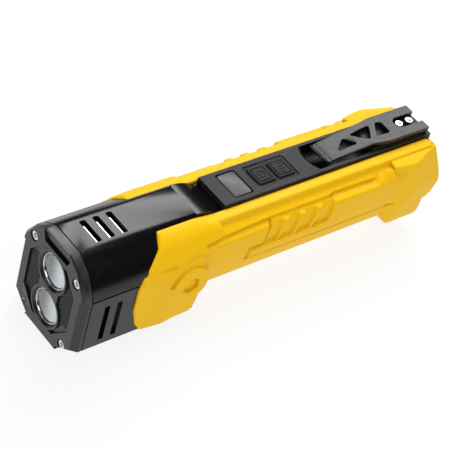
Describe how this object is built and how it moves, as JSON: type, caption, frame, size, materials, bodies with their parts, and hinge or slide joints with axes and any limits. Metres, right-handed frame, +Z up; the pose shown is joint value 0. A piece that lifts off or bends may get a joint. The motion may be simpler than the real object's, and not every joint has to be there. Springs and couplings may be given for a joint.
{
  "type": "firefighter flashlight",
  "caption": "Rugged hand-held work light with stacked lenses, a vented octagonal head, push keys and display on top, a sprung belt clip and a moulded rubber sleeve.",
  "frame": {"origin": "middle of the length and width, on the plane that the lamp rests on", "axes": "+X forward along the beam, +Y to the lamp's left, +Z up out of the control panel"},
  "size_m": [0.2056, 0.0482, 0.0533],
  "materials": {
    "bezel_black": "satin black, glass-filled nylon",
    "screw_steel": "bright turned stainless steel",
    "seal_rubber": "matt black silicone",
    "trim_chrome": "polished chrome",
    "lens_glass": "clear toughened glass",
    "reflector_silver": "vacuum-metallised, slightly dimpled",
    "led_board_white": "white solder mask on aluminium",
    "emitter_phosphor": "yellow phosphor under a clear dome",
    "sink_aluminium": "dark anodised, machined fins",
    "shell_gloss_black": "polished black polycarbonate",
    "board_green": "green solder mask",
    "parts_dark": "moulded component bodies",
    "case_black": "fine satin texture",
    "cradle_grey": "plain moulded nylon",
    "cell_can": "shrink-wrapped cell",
    "contact_brass": "plated spring strip",
    "switch_steel": "stamped steel cover",
    "display_dark": "dark display block",
    "window_smoke": "smoked clear cover",
    "key_rubber": "matt black silicone keys",
    "clip_black": "black satin coated spring steel",
    "sleeve_yellow": "matt yellow silicone"
  },
  "bodies": {
    "lamp": {"bezel": "bezel_black", "bezel_screws": "screw_steel", "bezel_gasket": "seal_rubber", "lens_ring_upper": "trim_chrome", "lens_ring_lower": "trim_chrome", "lens_upper": "lens_glass", "lens_lower": "lens_glass", "lens_seals": "seal_rubber", "reflector_upper": "reflector_silver", "reflector_lower": "reflector_silver", "led_board": "led_board_white", "led_emitters": "emitter_phosphor", "board_screws": "screw_steel", "heat_sink": "sink_aluminium", "head_shell": "shell_gloss_black", "driver_board": "board_green", "driver_parts": "parts_dark", "upper_case": "case_black", "lower_case": "case_black", "case_screws": "screw_steel", "battery_cradle": "cradle_grey", "battery_cell": "cell_can", "contact_front": "contact_brass", "contact_rear": "contact_brass", "switch_board": "board_green", "tact_switches": "switch_steel", "display_module": "display_dark", "display_window": "window_smoke", "button_frame": "key_rubber", "clip_base": "clip_black", "clip_screws": "screw_steel", "protective_sleeve": "sleeve_yellow"},
    "power_button": {"power_button": "key_rubber"},
    "mode_button": {"mode_button": "key_rubber"},
    "clip_arm": {"clip_arm": "clip_black"}
  },
  "joints": [
    {"name": "power_press", "type": "slide", "parent": "lamp", "child": "power_button", "axis": [0, 0, -1], "range_m": [0, 0.0007], "stiffness_N_per_m": 2000, "springref_m": -0.0003},
    {"name": "mode_press", "type": "slide", "parent": "lamp", "child": "mode_button", "axis": [0, 0, -1], "range_m": [0, 0.0007], "stiffness_N_per_m": 2000, "springref_m": -0.0003},
    {"name": "clip_flex", "type": "hinge", "parent": "lamp", "child": "clip_arm", "pos_m": [-0.0634, 0, 0.0533], "axis": [0, -1, 0], "range_deg": [0, 7], "stiffness_Nm_per_rad": 3, "springref_deg": -1.72}
  ]
}
